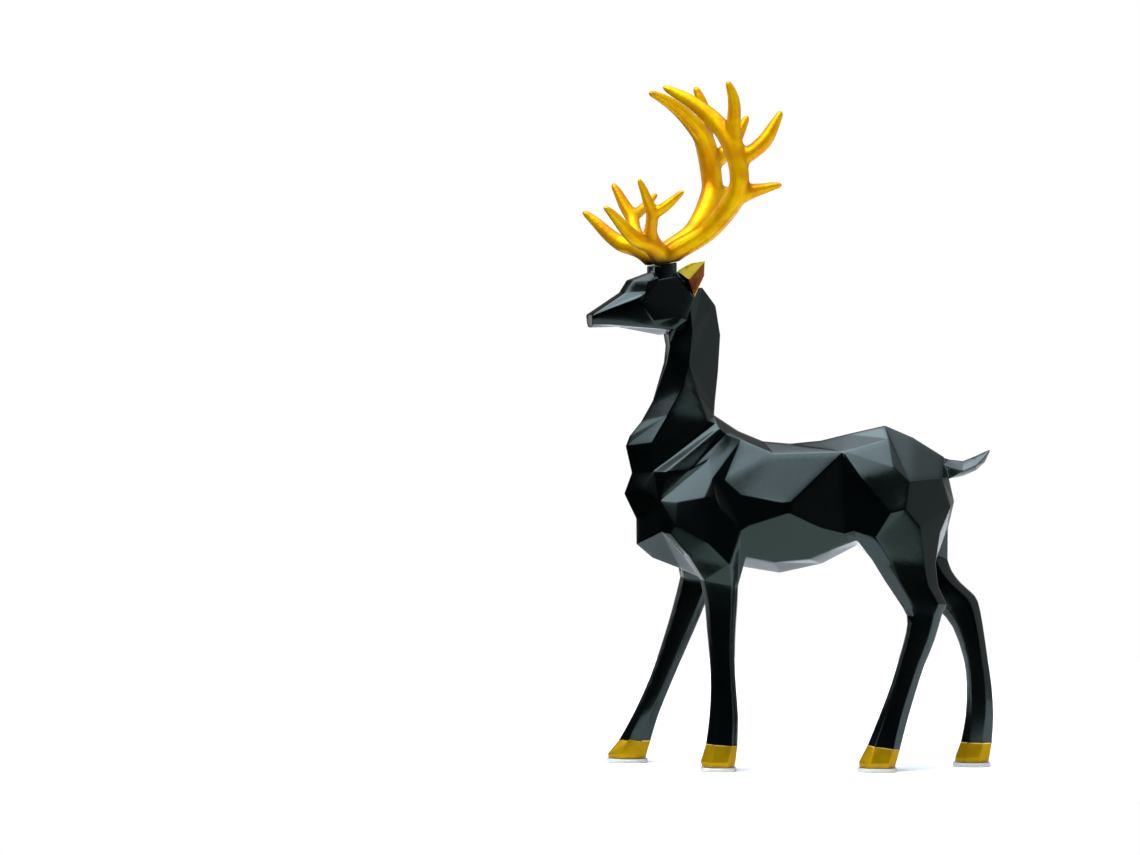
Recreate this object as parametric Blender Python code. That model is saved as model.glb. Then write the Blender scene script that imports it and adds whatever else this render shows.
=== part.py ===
"""Standing deer statuette: a faceted casting, two antlers set on its head and a pad under each hoof."""
import math
from functools import partial

import bmesh
import bpy
import numpy as np
from mathutils import Matrix, Vector

# Overall height with the pads, metres
STATUE_HEIGHT = 0.310

# Pads and fits, metres: the gap is kept between pieces that touch
SEAT_GAP = 0.0003
PAD_THICKNESS = 0.0018
PAD_MARGIN = 0.0009
PAD_EDGE = 0.0004
PAD_SIDES = 32
PAD_SQUARENESS = 0.72

# The figure's own numbers below run from its soles to its antler tips:
# x goes from the nose side (minus) to the tail (plus), out is away from the middle plane, z is up.
SOLE, ANTLER_TOP = 2.1, 307.0
SOLE_HEIGHT = PAD_THICKNESS + SEAT_GAP
UNIT = (STATUE_HEIGHT - SOLE_HEIGHT) / (ANTLER_TOP - SOLE)

# The head is turned to the deer's left about an upright line through the top of the neck
HEAD_TURN = math.radians(15.5)
TURN_LINE_X = -43.0
# The neck takes up that turn between these two heights
TURN_FROM, TURN_TO = 150.0, 200.0

# Facet corners are eased in or out so that the facets lie flatter: how firmly each holds its place,
# and the rounds
CORNER_HOLD = 0.9
FLATTENING_ROUNDS = 8

# Rings from one leg station to the next above the hoof, and the stations that shape the hoof
LEG_STEPS = 2
HOOF_STATIONS = 3

LEFT, RIGHT = 1, -1

# Corners of the facets that both sides share: (x, out, z)
TORSO = {
    # front strip, from the throat down the breast and under the chest
    "throat_core": (-50.0, 5.0, 206.0),
    "throat_top": (-55.4, 6.0, 194.4),
    "throat_high": (-54.6, 5.5, 189.1),
    "throat_mid": (-55.6, 5.0, 181.5),
    "throat_low": (-61.1, 5.0, 164.4),
    "throat_base": (-66.0, 5.0, 155.2),
    "chest_slope": (-71.2, 5.0, 148.7),
    "chest_peak": (-72.9, 5.0, 144.2),
    "notch_high": (-70.2, 4.5, 132.2),
    "breast": (-73.6, 4.5, 122.9),
    "notch_low": (-68.2, 4.5, 111.8),
    "chest_low": (-68.1, 4.5, 100.3),
    "keel_front": (-61.0, 4.5, 94.2),
    "keel_rear": (-48.4, 4.5, 89.4),
    # belly, crotch and seat
    "belly_front": (-21.2, 5.0, 90.5),
    "belly_deep": (-3.9, 5.0, 87.7),
    "belly_rise": (15.1, 5.0, 92.0),
    "groin": (30.8, 4.5, 100.3),
    "crotch": (51.8, 4.0, 101.0),
    "seat_low": (71.1, 4.0, 108.1),
    "seat": (73.8, 4.0, 119.7),
    "tail_under": (71.4, 4.0, 130.4),
    # back, from the tail to the nape
    "tail_root": (69.1, 3.5, 139.6),
    "rump": (55.3, 3.5, 148.2),
    "croup": (42.9, 4.0, 153.5),
    "loin": (26.4, 4.0, 149.7),
    "back_rise": (14.3, 4.0, 146.7),
    "back_dip": (0.5, 4.0, 145.3),
    "back_slope": (-11.6, 4.0, 146.3),
    "back_front": (-22.8, 4.0, 150.9),
    "withers": (-33.6, 4.0, 158.0),
    "nape_low": (-33.3, 4.0, 161.5),
    "nape_mid": (-32.0, 4.0, 178.7),
    "nape_high": (-31.3, 4.0, 193.9),
    "nape_bend": (-33.5, 4.0, 207.1),
    "nape_top": (-39.6, 3.5, 215.4),
    # side ridge of the neck and the collar ledge
    "neck_top": (-46.6, 9.5, 208.3),
    "neck_high": (-45.7, 11.4, 196.2),
    "neck_fork": (-46.4, 12.0, 181.6),
    "neck_front": (-48.1, 10.9, 170.2),
    "neck_flare": (-54.0, 11.0, 158.3),
    "neck_foot": (-60.9, 11.6, 146.0),
    "neck_rear": (-41.3, 10.9, 168.6),
    "neck_heel": (-36.0, 9.3, 155.9),
    "collar_tip": (-59.8, 11.3, 133.3),
    "collar_low": (-54.2, 15.4, 133.4),
    "collar_high": (-30.9, 10.2, 152.6),
    "collar_top": (-32.6, 7.9, 154.5),
    "groove_mid": (-43.6, 15.0, 133.9),
    "groove_top": (-29.9, 10.2, 151.1),
    # breast side and shoulder
    "breast_fold": (-65.5, 9.9, 125.1),
    "knot": (-57.0, 14.8, 120.2),
    "brisket": (-56.1, 15.3, 106.4),
    "brisket_edge": (-52.1, 17.6, 105.9),
    "point_low": (-50.0, 18.5, 109.8),
    "shin_front": (-47.2, 13.3, 96.9),
    "shin_edge": (-43.6, 18.5, 95.8),
    "blade_top": (-27.6, 10.0, 150.0),
    "blade_front": (-35.3, 13.9, 138.6),
    "blade_notch": (-36.2, 15.6, 134.1),
    "shoulder": (-33.4, 17.4, 130.2),
    "blade_low": (-28.0, 16.7, 129.6),
    "blade_rear": (-20.8, 12.5, 141.0),
    "point": (-48.9, 17.6, 119.8),
    "arm_top": (-36.9, 19.3, 122.0),
    "arm_ridge": (-31.9, 19.3, 122.2),
    "arm_mid": (-29.2, 19.5, 116.5),
    "arm_back": (-23.7, 18.3, 115.5),
    "elbow": (-20.4, 19.3, 107.6),
    "forearm": (-35.0, 22.1, 101.9),
    "forearm_rear": (-25.4, 22.0, 92.4),
    "elbow_fold": (-21.2, 17.6, 95.2),
    # ribcage and belly
    "rib_top": (-21.0, 10.1, 147.4),
    "rib_high": (-6.2, 13.2, 141.4),
    "rib_front": (-20.3, 18.6, 123.0),
    "rib_mid": (-3.2, 20.4, 119.8),
    "rib_rear": (2.1, 20.4, 120.4),
    "side_front": (-16.8, 19.7, 109.8),
    "side_peak": (0.8, 21.0, 115.4),
    "side_rear": (14.5, 18.5, 108.8),
    "side_end": (25.8, 16.1, 105.9),
    "hem_front": (-18.3, 17.5, 95.6),
    "hem_low": (-5.6, 17.5, 93.2),
    "hem_mid": (9.4, 16.0, 94.6),
    "hem_rise": (18.3, 15.5, 98.3),
    "hem_end": (28.4, 14.6, 102.3),
    # hip, rump and thigh
    "flank_top": (24.9, 14.2, 142.4),
    "flank": (25.7, 15.4, 128.1),
    "hip_top": (44.7, 9.4, 147.9),
    "hip_front": (33.0, 18.9, 130.9),
    "hip": (46.9, 16.5, 135.6),
    "hip_rear": (54.1, 17.8, 129.1),
    "rump_side": (68.5, 10.3, 130.1),
    "rump_low": (72.2, 11.2, 117.7),
    "thigh_rear": (58.9, 21.0, 109.5),
    "thigh_peak": (52.4, 21.4, 117.2),
    "thigh_top": (46.0, 22.0, 115.7),
    "thigh_mid": (39.3, 20.5, 104.7),
    "thigh_front": (30.1, 17.3, 107.2),
    "stifle": (30.8, 15.7, 103.1),
    "ham": (67.6, 14.2, 106.5),
}

# The far thigh and foreleg are set differently on the body, as the deer is walking
RIGHT_TORSO = {
    "shin_front": (-51.6, 13.3, 96.4),
    "shin_edge": (-48.4, 18.5, 95.3),
    "forearm_rear": (-29.5, 20.8, 92.4),
    "forearm": (-39.0, 21.3, 101.9),
    "ham": (70.6, 14.2, 107.0),
    "stifle": (32.4, 15.7, 102.6),
}

# Facets of one side, by corner
TORSO_FACETS = """
throat_core throat_top neck_top
throat_core neck_top nape_top
throat_top throat_high neck_high neck_top
throat_high throat_mid neck_fork neck_high
throat_mid throat_low neck_front neck_fork
throat_low throat_base neck_flare neck_front
throat_base chest_slope chest_peak neck_foot neck_flare
neck_fork neck_front neck_rear
neck_front neck_flare neck_heel neck_rear
neck_flare neck_foot collar_tip collar_top neck_heel
neck_top neck_high nape_bend nape_top
neck_high neck_fork nape_mid nape_high nape_bend
neck_fork neck_rear nape_low nape_mid
neck_rear neck_heel withers nape_low
neck_heel collar_top withers
collar_top collar_high groove_top blade_top back_front withers
blade_top rib_top back_front
chest_peak neck_foot collar_tip
chest_peak collar_tip notch_high
notch_high collar_tip breast_fold breast
collar_tip knot breast_fold
breast breast_fold knot notch_low
notch_low knot brisket chest_low
knot point_low brisket_edge brisket
collar_tip collar_low collar_high collar_top
collar_tip knot collar_low
collar_low knot groove_mid
collar_low groove_mid groove_top collar_high
knot blade_front groove_mid
groove_mid blade_front blade_top groove_top
knot point arm_top shoulder blade_notch blade_front
blade_front blade_notch shoulder blade_low blade_rear rib_top blade_top
shoulder arm_top arm_ridge
shoulder arm_ridge arm_mid elbow arm_back blade_low
knot point point_low
point arm_top arm_ridge forearm point_low
arm_ridge arm_mid elbow forearm_rear forearm
point_low forearm shin_edge brisket_edge
forearm forearm_rear outer_rear_fore outer_front_fore shin_edge
brisket brisket_edge shin_edge shin_front
shin_front shin_edge outer_front_fore front_outer_fore
chest_low brisket shin_front keel_rear keel_front
elbow elbow_fold rear_outer_fore outer_rear_fore forearm_rear
blade_low rib_front side_front elbow arm_back
elbow side_front hem_front elbow_fold
rib_top blade_rear blade_low rib_high
rib_top rib_high back_slope back_front
rib_high flank_top loin back_rise back_dip back_slope
blade_low rib_high flank_top rib_rear rib_mid rib_front
rib_front rib_mid side_peak side_front
rib_mid rib_rear side_peak
rib_rear flank_top flank side_end side_rear side_peak
side_front side_peak hem_low hem_front
side_peak side_rear hem_mid hem_low
side_rear side_end hem_end hem_rise hem_mid
hem_front hem_low belly_deep belly_front
hem_low hem_mid belly_rise belly_deep
hem_mid hem_rise belly_rise
hem_rise hem_end groin belly_rise
flank_top hip_front flank
flank thigh_front side_end
side_end thigh_front stifle hem_end
loin croup hip_top flank_top
flank_top hip_top hip hip_front
hip_front hip hip_rear thigh_peak thigh_top
hip_front thigh_top thigh_mid thigh_front flank
croup rump hip_rear hip hip_top
rump tail_root rump_side hip_rear
hip_rear rump_side rump_low thigh_rear thigh_peak
thigh_rear rump_low ham rear_outer_hind outer_rear_hind
thigh_top thigh_peak thigh_rear outer_rear_hind outer_front_hind thigh_mid
thigh_front thigh_mid outer_front_hind front_outer_hind stifle
tail_root tail_under rump_side
rump_side tail_under seat rump_low
rump_low seat seat_low ham
ham seat_low rear_inner_hind rear_outer_hind
hem_end stifle front_outer_hind front_inner_hind groin
groin front_inner_hind inner_front_hind crotch
crotch inner_front_hind inner_rear_hind
crotch inner_rear_hind rear_inner_hind seat_low
shin_front front_outer_fore front_inner_fore keel_rear
keel_rear front_inner_fore inner_front_fore
keel_rear inner_front_fore inner_rear_fore belly_front
belly_front inner_rear_fore rear_inner_fore
belly_front rear_inner_fore rear_outer_fore elbow_fold hem_front
"""

# Closed run of corner pairs that the two sides meet across
TORSO_STRIP = """
throat_core throat_top throat_high throat_mid throat_low throat_base chest_slope chest_peak notch_high
breast notch_low chest_low keel_front keel_rear belly_front belly_deep belly_rise groin crotch seat_low
seat tail_under tail_root rump croup loin back_rise back_dip back_slope back_front withers nape_low
nape_mid nape_high nape_bend nape_top
"""

# Legs, from the body down to the sole: front x and z, rear x and z, out to the middle, half thickness,
# and the share of the length that the front and rear bevels take. The last three are the hoof.
FORE_LEFT = [
    (-38.8, 85.4, -22.1, 82.4, 13.5, 6.0, 0.13, 0.17),
    (-36.8, 74.8, -22.4, 74.0, 13.8, 5.4, 0.16, 0.17),
    (-35.8, 63.3, -23.1, 63.0, 14.4, 4.8, 0.20, 0.17),
    (-34.5, 49.6, -23.4, 49.6, 15.2, 4.3, 0.24, 0.17),
    (-34.0, 36.7, -22.7, 36.7, 16.0, 4.3, 0.25, 0.17),
    (-34.6, 23.9, -21.7, 23.9, 17.0, 4.7, 0.26, 0.17),
    (-36.0, 12.2, -22.0, 11.3, 17.8, 5.2, 0.27, 0.17),
    (-38.3, 4.4, -23.0, 4.2, 17.8, 6.2, 0.34, 0.18),
    (-37.7, SOLE, -23.5, SOLE, 17.8, 5.7, 0.30, 0.18),
]
FORE_RIGHT = [
    (-49.4, 84.6, -34.0, 83.0, 14.7, 5.4, 0.14, 0.20),
    (-52.9, 70.6, -40.5, 66.6, 14.7, 5.2, 0.18, 0.22),
    (-57.4, 55.4, -46.8, 52.0, 14.6, 4.8, 0.22, 0.24),
    (-63.0, 39.2, -53.4, 36.6, 14.8, 4.7, 0.24, 0.26),
    (-70.1, 23.4, -59.4, 21.8, 15.4, 4.9, 0.26, 0.28),
    (-77.1, 10.4, -63.0, 10.0, 16.7, 5.4, 0.28, 0.29),
    (-82.4, 4.0, -64.9, 4.0, 17.5, 6.2, 0.36, 0.29),
    (-82.2, SOLE, -65.3, SOLE, 17.5, 5.7, 0.33, 0.29),
]
HIND_LEFT = [
    (37.5, 94.3, 65.7, 93.4, 12.0, 7.5, 0.29, 0.18),
    (43.4, 84.7, 66.9, 82.6, 12.2, 7.0, 0.28, 0.18),
    (48.5, 77.1, 70.6, 74.9, 12.8, 6.3, 0.27, 0.16),
    (52.9, 69.6, 68.6, 70.4, 13.2, 5.7, 0.22, 0.22),
    (52.6, 61.9, 65.3, 58.9, 13.6, 5.1, 0.16, 0.22),
    (49.5, 50.4, 60.6, 47.0, 13.9, 4.6, 0.15, 0.24),
    (46.1, 38.9, 57.0, 35.6, 14.0, 4.5, 0.17, 0.26),
    (41.5, 26.4, 53.4, 23.2, 14.0, 4.7, 0.20, 0.26),
    (35.7, 11.8, 50.0, 10.0, 14.5, 5.2, 0.23, 0.19),
    (31.9, 4.2, 48.4, 4.2, 14.5, 6.2, 0.30, 0.19),
    (32.1, SOLE, 47.8, SOLE, 14.5, 5.7, 0.28, 0.19),
]
HIND_RIGHT = [
    (42.5, 94.3, 71.0, 92.9, 12.9, 6.6, 0.29, 0.18),
    (48.0, 88.6, 72.9, 87.8, 12.9, 6.5, 0.28, 0.18),
    (54.5, 81.8, 76.8, 82.6, 12.8, 6.3, 0.26, 0.18),
    (62.3, 74.8, 81.7, 78.2, 12.7, 6.0, 0.24, 0.18),
    (67.3, 70.2, 84.6, 74.2, 12.6, 5.7, 0.22, 0.18),
    (73.3, 62.8, 86.7, 64.4, 12.4, 5.4, 0.20, 0.20),
    (78.2, 48.9, 88.9, 49.6, 12.1, 4.9, 0.20, 0.24),
    (79.6, 36.6, 90.8, 37.0, 12.2, 4.8, 0.20, 0.26),
    (79.2, 22.9, 91.7, 23.0, 12.5, 4.9, 0.22, 0.29),
    (77.1, 10.9, 91.0, 10.6, 13.0, 5.3, 0.25, 0.30),
    (74.7, 4.2, 89.9, 4.2, 13.3, 6.2, 0.34, 0.28),
    (74.5, SOLE, 89.5, SOLE, 13.3, 5.7, 0.32, 0.28),
]
RING = ("front_outer", "outer_front", "outer_rear", "rear_outer", "rear_inner", "inner_rear", "inner_front",
        "front_inner")

# The head before its turn: (forward of the turning line, out, z)
HEAD = {
    "nose_top": (47.5, 7.2, 203.0),
    "nose_low": (47.1, 6.8, 198.8),
    "chin": (47.1, 4.0, 197.4),
    "bridge": (32.5, 7.0, 213.0),
    "forehead": (29.0, 7.5, 218.5),
    "brow": (22.4, 9.3, 218.1),
    "crown_front": (19.2, 4.5, 222.3),
    "crown": (7.0, 5.0, 222.3),
    "occiput": (-1.4, 4.0, 216.8),
    "temple": (10.1, 9.6, 222.1),
    "eye": (23.6, 10.0, 213.2),
    "eye_front": (26.3, 11.0, 211.2),
    "cheek_front": (25.9, 11.1, 208.7),
    "cheek_low": (20.2, 11.9, 200.7),
    "jaw_corner": (8.0, 12.4, 202.8),
    "jaw_rear": (4.0, 11.6, 204.6),
    "cheek_rear": (2.1, 10.8, 210.1),
    "lip": (34.6, 8.4, 198.5),
    "jaw_edge": (20.1, 11.3, 198.5),
    "chin_mid": (34.0, 4.0, 197.7),
    "chin_rear": (14.6, 4.0, 194.0),
    "gullet": (11.2, 12.2, 196.4),
    "gullet_rear": (5.3, 12.2, 200.7),
}
HEAD_FACETS = """
nose_top nose_low lip jaw_edge cheek_low cheek_front eye_front
nose_top eye_front eye bridge
forehead bridge eye brow
forehead brow crown_front
brow temple crown crown_front
temple cheek_rear occiput crown
eye brow temple cheek_rear jaw_rear jaw_corner cheek_low cheek_front eye_front
nose_low chin chin_mid lip
lip chin_mid chin_rear gullet jaw_edge
jaw_edge gullet gullet_rear jaw_corner cheek_low
jaw_corner gullet_rear jaw_rear
chin_rear occiput cheek_rear jaw_rear gullet_rear gullet
nose_top chin nose_low
"""
HEAD_STRIP = "nose_top bridge forehead crown_front crown occiput chin_rear chin_mid chin"

EAR = {
    "front": (9.7, 11.3, 222.5),
    "ridge": (5.0, 14.5, 226.0),
    "tip": (-1.7, 17.2, 227.1),
    "back": (-1.9, 15.0, 220.5),
    "low": (2.0, 12.0, 210.9),
    "fold": (4.4, 11.5, 218.8),
    "root": (-0.6, 7.0, 218.0),
    "heart": (6.5, 7.5, 217.0),
}
# How much lower than those places each ear is set
EAR_DROP = {LEFT: 0.0, RIGHT: 4.4}
EAR_FACETS = """
front fold ridge
ridge fold tip
tip fold back
back fold low
front ridge root
ridge tip root
tip back root
back low root
front root heart
low heart root
front heart fold
fold heart low
"""

# Pedicles that the antlers sit on, before the turn: (forward, z) of the top's front and rear edge
PEDICLE_FRONT, PEDICLE_REAR = (19.4, 224.8), (9.2, 226.5)
PEDICLE_OUT, PEDICLE_HALF = 6.8, 3.7
PEDICLE_CORNER, PEDICLE_SIDE = 0.26, 0.45
PEDICLE_DEPTH = 6.4

# Tail, from inside the rump to its tip: x, then z of the top, side and under edges, and half width
TAIL = [
    (66.5, 140.2, 137.0, 131.0, 6.0),
    (71.5, 138.7, 135.1, 129.8, 5.5),
    (77.6, 138.0, 133.4, 131.0, 5.0),
    (83.8, 140.5, 136.0, 133.7, 4.0),
    (87.4, 142.2, 139.9, 137.2, 2.4),
    (89.6, 143.0, 142.6, 142.0, 0.7),
]

# Left antler before the turn: each branch is (forward, out, z, radius) from root to tip
LEFT_ANTLER = {
    "beam": [(14.3, 6.9, 223.0, 4.4), (13.6, 7.2, 227.6, 4.5), (9.3, 9.0, 231.9, 4.4),
             (3.4, 11.5, 235.5, 4.3), (-3.1, 15.0, 240.1, 4.3), (-8.6, 20.0, 246.9, 4.5),
             (-12.6, 25.5, 254.1, 4.5), (-14.6, 28.5, 260.1, 4.2), (-14.3, 29.5, 266.2, 4.1),
             (-13.6, 29.2, 272.0, 4.4), (-11.4, 27.7, 279.1, 4.6)],
    "front_top": [(-11.4, 27.7, 279.1, 4.6), (-8.5, 25.5, 284.1, 4.0), (-4.3, 22.8, 289.4, 3.7),
                  (0.8, 20.5, 294.2, 3.2), (6.2, 18.2, 298.3, 2.7), (11.3, 16.4, 301.2, 2.1),
                  (15.6, 15.2, 303.6, 1.3)],
    "crown_top": [(-11.4, 27.7, 279.1, 4.1), (-11.9, 29.5, 288.3, 3.0), (-11.8, 31.0, 295.8, 2.6),
                  (-10.6, 31.8, 301.0, 2.0), (-8.9, 32.3, 304.8, 1.3)],
    "rear_top": [(-14.1, 29.0, 271.6, 3.8), (-20.3, 30.3, 275.2, 3.2), (-25.6, 31.2, 280.0, 3.1),
                 (-29.0, 31.8, 285.7, 2.4), (-32.1, 32.2, 291.6, 1.4)],
    "rear_low": [(-13.4, 26.0, 254.8, 3.9), (-20.4, 28.2, 257.8, 3.1), (-25.4, 29.2, 258.9, 2.2),
                 (-29.2, 30.2, 259.9, 1.7), (-32.0, 30.7, 260.4, 1.2)],
    "brow": [(14.6, 7.2, 226.0, 4.4), (19.2, 11.0, 232.1, 4.3), (23.5, 14.0, 234.7, 3.9),
             (28.7, 16.4, 236.2, 3.4), (33.8, 18.8, 240.1, 2.8), (38.7, 20.8, 245.1, 2.2),
             (42.1, 22.0, 248.4, 1.6), (44.2, 22.4, 250.1, 1.1)],
    "fork": [(19.8, 11.5, 233.2, 3.5), (22.6, 15.5, 238.9, 2.8), (22.9, 19.0, 243.7, 2.5),
             (23.0, 21.5, 248.0, 2.7)],
    "fork_front": [(23.0, 21.5, 247.9, 2.5), (25.7, 23.8, 253.4, 2.1), (27.8, 25.2, 258.2, 1.6),
                   (29.8, 26.2, 262.0, 1.1)],
    "fork_rear": [(23.0, 21.5, 247.7, 2.5), (19.7, 23.6, 249.6, 2.2), (16.1, 25.8, 252.5, 1.9),
                  (13.2, 27.5, 255.3, 1.4), (11.4, 28.5, 257.0, 1.1)],
}
# The right antler is its mirror image apart from these branches
RIGHT_ANTLER = {
    "beam": [(14.3, 6.9, 223.0, 4.4), (13.6, 7.2, 227.6, 4.5), (9.3, 9.0, 231.9, 4.4),
             (3.4, 11.5, 235.5, 4.3), (-3.1, 15.0, 240.1, 4.3), (-8.6, 20.0, 246.9, 4.5),
             (-12.9, 25.5, 254.1, 4.7), (-15.1, 28.5, 260.1, 4.6), (-14.9, 29.5, 266.2, 4.6),
             (-14.0, 29.2, 272.0, 4.6), (-12.2, 27.7, 279.1, 4.6)],
    "front_top": [(-12.2, 27.7, 279.1, 4.6), (-9.5, 25.5, 284.1, 4.0), (-5.0, 22.8, 289.2, 3.7),
                  (0.6, 20.5, 294.2, 3.1), (6.0, 18.2, 298.0, 2.6), (11.3, 16.4, 300.8, 2.0),
                  (15.8, 15.2, 302.6, 1.3)],
    "crown_top": [(-11.9, 27.7, 279.1, 4.1), (-11.8, 29.5, 288.3, 3.2), (-11.6, 31.0, 295.8, 2.7),
                  (-10.3, 31.8, 301.2, 2.1), (-8.7, 32.3, 304.9, 1.5)],
    "rear_top": [(-14.3, 29.0, 271.6, 3.9), (-20.0, 30.3, 275.4, 3.5), (-25.1, 31.2, 280.6, 3.1),
                 (-28.5, 31.8, 286.2, 2.4), (-31.7, 32.2, 292.2, 1.4)],
    "brow": [(14.6, 7.2, 226.0, 4.4), (19.4, 11.0, 231.4, 4.4), (23.9, 14.0, 233.6, 4.0),
             (29.3, 16.4, 235.0, 3.5), (34.5, 18.8, 238.9, 2.9), (39.4, 20.8, 243.9, 2.3),
             (42.9, 22.0, 247.2, 1.7), (44.9, 22.4, 248.8, 1.2)],
    "fork": [(20.0, 11.5, 233.2, 3.7), (22.6, 15.5, 238.6, 3.0), (23.3, 19.0, 243.2, 2.7),
             (23.3, 21.5, 247.2, 2.8)],
    "fork_front": [(23.4, 21.5, 246.9, 2.9), (26.6, 23.8, 252.6, 2.5), (28.9, 25.2, 257.6, 1.9),
                   (30.8, 26.2, 261.0, 1.3)],
}
# Tips are rounded off by rings at these shares of the last radius: (distance on, radius)
TIP_ROUNDING = ((0.5, 0.92), (0.9, 0.7), (1.15, 0.38))
BRANCH_STEPS, BRANCH_SIDES = 3, 12
# The softening below takes about this much off a branch's radius, so it is added first
BRANCH_SWELL = 0.35

# Melting the branches together: cell size in metres, softening and the faces that are left
ANTLER_GRAIN = 0.00062
ANTLER_SOFTENING, ANTLER_PASSES = 0.6, 6
ANTLER_FACES = 3300

ROUND_EDGE = math.radians(35)

COLOURS = {
    "lacquer": ((0.006, 0.008, 0.009), 0.16, 0.0),
    "gilding": ((0.68, 0.41, 0.035), 0.34, 0.85),
    "pad": ((0.78, 0.80, 0.80), 0.35, 0.0),
}


def clear_scene():
    """Start from nothing."""
    for item in list(bpy.data.objects):
        bpy.data.objects.remove(item, do_unlink=True)


def material(name):
    """Plain surface of one of the named colours."""
    colour, roughness, metallic = COLOURS[name]
    made = bpy.data.materials.get(name) or bpy.data.materials.new(name)
    made.use_nodes = True
    shader = made.node_tree.nodes["Principled BSDF"]
    shader.inputs["Base Color"].default_value = (*colour, 1.0)
    shader.inputs["Roughness"].default_value = roughness
    shader.inputs["Metallic"].default_value = metallic
    return made


def turned(x, out, z, side):
    """Metres from figure numbers, with the neck's turn growing from its foot to the head."""
    share = min(1.0, max(0.0, (z - TURN_FROM) / (TURN_TO - TURN_FROM)))
    angle = HEAD_TURN * share * share * (3.0 - 2.0 * share)
    ahead, across = x - TURN_LINE_X, -side * out
    place = Vector((
        TURN_LINE_X + ahead * math.cos(angle) - across * math.sin(angle),
        ahead * math.sin(angle) + across * math.cos(angle),
        z - SOLE,
    ))
    return place * UNIT + Vector((0, 0, SOLE_HEIGHT))


def on_head(forward, out, z, side):
    """Metres from a place given on the head before its turn."""
    return turned(TURN_LINE_X - forward, out, z, side)


def finish_mesh(mesh, name, colour):
    """Turn a bmesh into a named object with its faces pointing outwards."""
    bmesh.ops.recalc_face_normals(mesh, faces=mesh.faces)
    data = bpy.data.meshes.new(name)
    mesh.to_mesh(data)
    mesh.free()
    data.materials.append(material(colour))
    made = bpy.data.objects.new(name, data)
    bpy.context.scene.collection.objects.link(made)
    return made


def add_faces(mesh, corners, listing):
    """Faces from lines of corner names."""
    for facet in named_facets(listing):
        mesh.faces.new([corners[name] for name in facet])


def add_strip(mesh, left, right, listing):
    """Faces across the middle plane between two matching closed runs of corners."""
    words = listing.split()
    for here, there in zip(words, words[1:] + words[:1]):
        mesh.faces.new([left[here], left[there], right[there], right[here]])


def named_facets(listing):
    """Lists of corner names from the lines of a facet listing."""
    return [line.split() for line in listing.strip().splitlines()]


def facing(points):
    """Direction that a ring of points faces, whether or not it is quite flat."""
    total = Vector()
    for one, two in zip(points, points[1:] + points[:1]):
        total += one.cross(two)
    return total.normalized()


def flattened(places, seam, roots, listing, placed):
    """Metres of all corners, the free ones eased in or out so that the facets lie as flat as they can.

    The corners on the seam and on the leg roots stay where they are.
    """
    here = {name: placed(*place) for name, place in places.items()}
    here.update(roots)
    free = [name for name in places if name not in seam]
    column = {name: index for index, name in enumerate(free)}
    onward = {}
    for name in free:
        x, out, z = places[name]
        onward[name] = placed(x, out + 1.0, z) - here[name]
    facets = [facet for facet in named_facets(listing) if len(facet) > 3]
    eased = np.zeros(len(free))
    for _ in range(FLATTENING_ROUNDS):
        now = {name: here[name] + onward[name] * eased[column[name]] for name in free}
        rows = list(np.eye(len(free)) * CORNER_HOLD * UNIT)
        wanted = [0.0] * len(free)
        for facet in facets:
            toward = facing([now.get(name, here[name]) for name in facet])
            middle = sum((here[name] for name in facet), Vector()) / len(facet)
            shared = np.zeros(len(free))
            for name in facet:
                if name in column:
                    shared[column[name]] = toward.dot(onward[name])
            for name in facet:
                row = -shared / len(facet)
                if name in column:
                    row[column[name]] += shared[column[name]]
                rows.append(row)
                wanted.append(toward.dot(middle - here[name]))
        eased = np.linalg.lstsq(np.array(rows), np.array(wanted), rcond=None)[0]
    here.update({name: here[name] + onward[name] * eased[column[name]] for name in free})
    return here


def ring_points(station, side):
    """Eight corners of a leg section, in the order of RING."""
    front_x, front_z, rear_x, rear_z, middle, half, front_bevel, rear_bevel = station
    shape = (
        (0.0, 0.45), (front_bevel, 1.0), (1.0 - rear_bevel, 1.0), (1.0, 0.45),
        (1.0, -0.45), (1.0 - rear_bevel, -1.0), (front_bevel, -1.0), (0.0, -0.45),
    )
    points = []
    for along, width in shape:
        x = front_x + (rear_x - front_x) * along
        z = front_z + (rear_z - front_z) * along
        points.append(turned(x, middle + half * width, z, side))
    return points


def grow_leg(mesh, root, stations, side):
    """Carry a leg down from its root ring, eased as far as the hoof, and close it with the sole."""
    above, hoof = stations[:-HOOF_STATIONS + 1], stations[-HOOF_STATIONS + 1:]
    ring = root
    for station in smooth_run(above, LEG_STEPS)[1:] + list(hoof):
        below = [mesh.verts.new(point) for point in ring_points(station, side)]
        for index in range(len(RING)):
            after = (index + 1) % len(RING)
            mesh.faces.new([ring[index], ring[after], below[after], below[index]])
        ring = below
    mesh.faces.new(ring)


def make_torso():
    """Neck, chest, belly, rump and the four legs as one closed shell."""
    mesh = bmesh.new()
    seam = set(TORSO_STRIP.split())
    sides = {}
    for side, fore, hind in ((LEFT, FORE_LEFT, HIND_LEFT), (RIGHT, FORE_RIGHT, HIND_RIGHT)):
        places = dict(TORSO)
        if side == RIGHT:
            places.update(RIGHT_TORSO)
        roots = {}
        for stations, ending in ((fore, "_fore"), (hind, "_hind")):
            for name, point in zip(RING, ring_points(stations[0], side)):
                roots[name + ending] = point
        points = flattened(places, seam, roots, TORSO_FACETS, partial(turned, side=side))
        corners = {name: mesh.verts.new(point) for name, point in points.items()}
        add_faces(mesh, corners, TORSO_FACETS)
        for stations, ending in ((fore, "_fore"), (hind, "_hind")):
            grow_leg(mesh, [corners[name + ending] for name in RING], stations, side)
        sides[side] = corners
    add_strip(mesh, sides[LEFT], sides[RIGHT], TORSO_STRIP)
    return finish_mesh(mesh, "body", "lacquer")


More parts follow.
